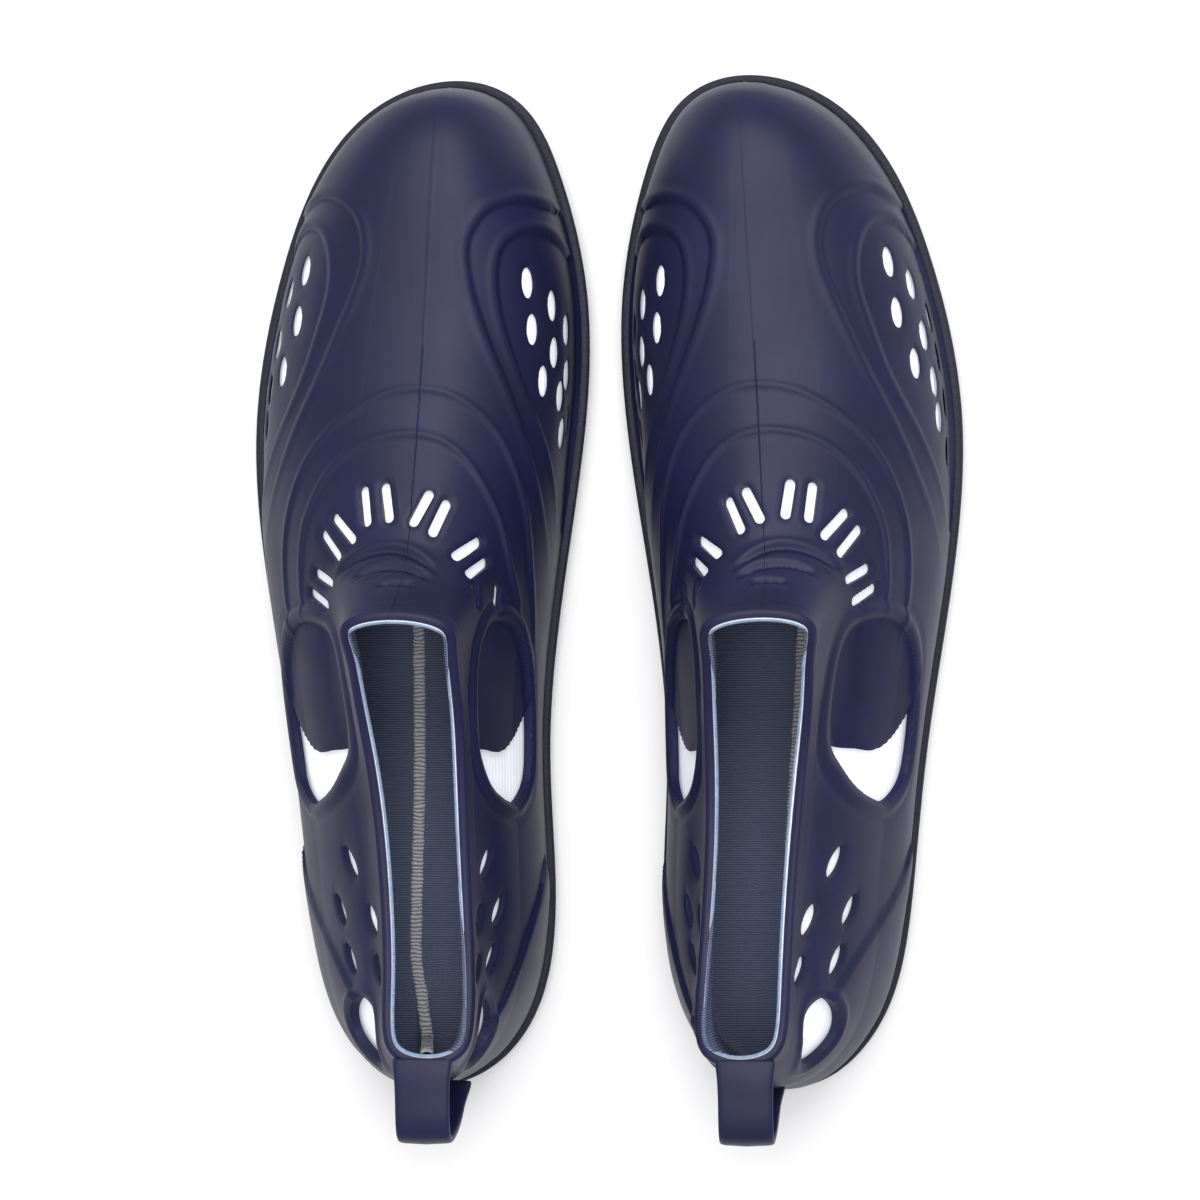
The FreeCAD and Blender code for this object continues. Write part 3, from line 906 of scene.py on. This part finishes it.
def seam_path(hand):
    """Middle line of the overlock seam on the sock's inside.

    The left shoe's runs from the toe to the heel and up it, the right shoe's stops at the heel.
    """
    inner = FLOOR_HEIGHT + SOCK_THICKNESS
    points = []
    if hand > 0:
        for y in np.linspace(SEAM_FRONT, 40, 60):
            points.append((-5.4 + 4.6 * smooth((140 - y) / 95), y, inner + spring(y)))
        return np.array(points, float)
    for y in np.linspace(SEAM_FRONT, 22, 60):
        x = -2.9 - 1.6 * smooth((100 - y) / 70) + 4.0 * smooth((40 - y) / 30)
        points.append((x, y, inner + spring(y) + 5 * smooth((30 - y) / 12) ** 2))
    for rise in np.linspace(0.1, 1, 24):
        y = 15.5 + 2.2 * rise ** 2 - 1.5 * rise
        points.append((-0.6 + 8.6 * rise, y, inner + 4 + 60 * rise))
    return np.array(points, float)


def add_seam(hand, name, body, finish):
    """Flat overlock: a low domed band with slanting thread loops over it."""
    route = smooth_curve(seam_path(hand), 12)
    lengths = np.append(0, np.linalg.norm(np.diff(route, axis=0), axis=1).cumsum())
    even = np.arange(0, lengths[-1], 0.3)
    route = np.stack([np.interp(even, lengths, route[:, i]) for i in range(3)], -1)
    tangent = np.gradient(route, axis=0)
    tangent /= np.linalg.norm(tangent, axis=1, keepdims=True)
    side = np.tile(np.array([1.0, 0, 0]), (len(route), 1))
    side -= tangent * (side * tangent).sum(1, keepdims=True)
    side /= np.linalg.norm(side, axis=1, keepdims=True)
    up = np.cross(side, -tangent if tangent[0, 1] > 0 else tangent)
    up *= np.sign(up[0, 2])
    rows = []
    for offset in np.linspace(-1, 1, 13):
        dome = SEAM_DOME * math.sqrt(max(1 - offset ** 4, 0))
        loops = 0.18 * np.abs(np.sin(np.pi * (even / SEAM_LOOP_PITCH + offset * 0.45)))
        stray = 0.12 * np.sin(even * 0.9 + offset * 2) * np.sin(even * 0.31)
        width = SEAM_HALF_WIDTH + 0.08 * np.sin(even * 5.4)
        lift = dome + loops * (1 - offset ** 6) - 0.1
        rows.append(route + side * (offset * width + stray)[:, None] + up * lift[:, None])
    grid = np.array(rows)
    faces = strip_faces(*grid.shape[:2], False)
    make_piece(
        f"{name}_seam", grid.reshape(-1, 3), faces, hand, [finish], body,
        [f"{name}_sock_seam"],
    )


def add_loop(hand, name, body, finish):
    """Heel pull loop: a strap with rounded edges that widens where it leaves the upper."""
    route = smooth_curve([(0, y, z) for y, z in LOOP_ROUTE], 6)[:, 1:]
    tangent = np.gradient(route, axis=0)
    tangent /= np.linalg.norm(tangent, axis=1, keepdims=True)
    normal = np.stack([-tangent[:, 1], tangent[:, 0]], -1)
    share = np.linspace(0, 1, len(route))
    half = LOOP_HALF_WIDTH + 0.7 * crest(share, 0.1) + 1.2 * crest(1 - share, 0.13)
    section = []
    for angle in np.arange(32) * 2 * math.pi / 32:
        c = math.cos(angle)
        s = math.sin(angle)
        across = math.copysign(abs(c) ** 0.35, c)
        thick = math.copysign(abs(s) ** 0.6, s)
        ridge = 0.2 if abs(across) < 0.04 else 0.0
        section.append((across, thick * (LOOP_HALF_THICKNESS + ridge)))
    rows = []
    for i in range(len(route)):
        ring = []
        for across, spread in section:
            y, z = route[i] + normal[i] * spread
            ring.append((LOOP_X + across * half[i], y, z))
        rows.append(ring)
    grid = np.array(rows)
    count = grid.shape[1]
    faces = strip_faces(*grid.shape[:2], True)
    faces.append(list(range(count))[::-1])
    faces.append([(grid.shape[0] - 1) * count + j for j in range(count)])
    make_piece(
        f"{name}_pull_loop", grid.reshape(-1, 3), faces, hand, [finish], body,
        [f"{name}_heel_pull_loop"],
    )


def add_outsole(hand, name, body, finish):
    """Outsole: a rounded rim, a stepped side wall and a tread of wavy lugs."""
    around = 560
    turns = even_turns(around)
    rows = []
    toe_lip = TOE_LIP * smooth((along(turns) - TOE_START) / TOE_RUN)
    for height, inset in SOLE_SIDE:
        x, y = outline(turns, inset - toe_lip)
        rows.append(np.stack([x, y, height + spring(y)], -1))
    for step, x, y, middle in inward_rows(turns, SOLE_SIDE[-1][1], np.linspace(0.03, 1, 60)):
        wave = y + TREAD_WAVE * np.sin(x * 2 * math.pi / TREAD_WAVE_LENGTH)
        groove = smooth((np.cos(wave * 2 * math.pi / TREAD_PITCH) - 0.62) / 0.2)
        groove = np.maximum(groove, smooth((1.0 - np.abs(x - middle)) / 0.6) * 0.8)
        groove *= smooth((step - 0.03) / 0.05)
        rows.append(np.stack([x, y, TREAD_DEPTH * groove + spring(y)], -1))
    grid = np.array(rows)
    faces = [face[::-1] for face in strip_faces(*grid.shape[:2], True)]
    faces.append(list(range(around)))
    weld_points(make_piece(
        f"{name}_outsole_tread", grid.reshape(-1, 3), faces, hand, [finish], body,
        [f"{name}_outsole"],
    ))


def add_upper(hand, name, body, finishes, skin):
    """The moulded cage, from the wall that upper_mesh() made."""
    verts, faces, finish_of = skin
    piece = make_piece(
        f"{name}_upper", verts, faces, hand, [finishes["navy"], finishes["matt"]], body,
        [f"{name}_upper_shell"], finish_of,
    )
    piece.data.set_sharp_from_angle(angle=math.radians(50))


def build_pair():
    finishes = {
        "navy": elastomer("cage_elastomer_navy", 0.28), "matt": elastomer("cage_elastomer_matt", 0.12),
        "rubber": outsole_rubber(), "foam": foam(), "white": sock_white_with_painted_glow(), "lining": lining(),
        "edge": cut_edge(), "thread": thread(),
    }
    skin = upper_mesh()
    for hand, name in ((-1, "left"), (1, "right")):
        body = f"{name}_shoe"
        add_upper(hand, name, body, finishes, skin)
        add_sock(hand, name, body, finishes)
        add_seam(hand, name, body, finishes["thread"])
        add_loop(hand, name, body, finishes["navy"])
        add_outsole(hand, name, body, finishes["rubber"])
        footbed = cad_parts[f"{name}_footbed"]
        footbed.data.materials.clear()
        footbed.data.materials.append(finishes["foam"])


# ---- floor, light and camera ----------------------------------------------------------------
def add_floor():
    mesh = bpy.data.meshes.new("floor")
    corners = [(-FLOOR_REACH, -FLOOR_REACH, 0), (FLOOR_REACH, -FLOOR_REACH, 0),
               (FLOOR_REACH, FLOOR_REACH, 0), (-FLOOR_REACH, FLOOR_REACH, 0)]
    mesh.from_pydata(corners, [], [(0, 1, 2, 3)])
    floor = bpy.data.objects.new("floor", mesh)
    bpy.context.scene.collection.objects.link(floor)
    finish, _, shader = new_material("floor_pale", (0.93, 0.93, 0.93), 0.8, 0.2)
    shader.inputs["Emission Color"].default_value = (1, 1, 1, 1)
    shader.inputs["Emission Strength"].default_value = 0.12
    mesh.materials.append(finish)


def add_world():
    """Soft light from all sides, brighter from above."""
    world = bpy.data.worlds.new("studio")
    bpy.context.scene.world = world
    world.use_nodes = True
    tree = world.node_tree
    sky = add_node(tree, "ShaderNodeTexCoord")
    split = add_node(tree, "ShaderNodeSeparateXYZ")
    ramp = add_node(tree, "ShaderNodeValToRGB")
    ramp.color_ramp.elements[0].position = 0.1
    ramp.color_ramp.elements[0].color = (0.34, 0.34, 0.35, 1)
    ramp.color_ramp.elements[1].color = (0.78, 0.78, 0.8, 1)
    tree.links.new(sky.outputs["Generated"], split.inputs["Vector"])
    tree.links.new(split.outputs["Z"], ramp.inputs["Fac"])
    tree.links.new(ramp.outputs["Color"], tree.nodes["Background"].inputs["Color"])


def add_lamps():
    """Each lamp: name, place in metres, width, length, watts. Both face the origin."""
    for name, spot, size_x, size_y, power in (
        ("key", (0.1, 0.66, 1.22), 1.1, 0.6, 11.5),
        ("fill", (0.1, -0.1, 1.5), 0.5, 0.5, 6.5),
    ):
        light = bpy.data.lights.new(name, "AREA")
        light.shape = "RECTANGLE"
        light.size = size_x
        light.size_y = size_y
        light.energy = power
        lamp = bpy.data.objects.new(name, light)
        lamp.location = spot
        lamp.rotation_euler = (-Vector(spot)).to_track_quat("-Z", "Y").to_euler()
        bpy.context.scene.collection.objects.link(lamp)


def add_camera():
    """Nearly straight above, leaning a little over the right shoe."""
    target = Vector(CAMERA_TARGET)
    back = Vector((math.tan(CAMERA_LEAN), 0, 1)).normalized()
    right = Vector((0, 1, 0)).cross(back).normalized()
    up = back.cross(right)
    camera = bpy.data.cameras.new("camera")
    camera.sensor_width = SENSOR_WIDTH
    camera.lens = SENSOR_WIDTH * CAMERA_DISTANCE / VIEW_WIDTH
    rig = bpy.data.objects.new("camera", camera)
    turn = Matrix((right, up, back)).transposed() @ Matrix.Rotation(CAMERA_ROLL, 3, "Z")
    rig.matrix_world = Matrix.Translation(target + back * CAMERA_DISTANCE) @ turn.to_4x4()
    bpy.context.scene.collection.objects.link(rig)
    bpy.context.scene.camera = rig


add_camera()
build_pair()
add_floor()
add_world()
add_lamps()
bpy.context.scene.view_settings.view_transform = "Standard"

bpy.context.view_layer.update()
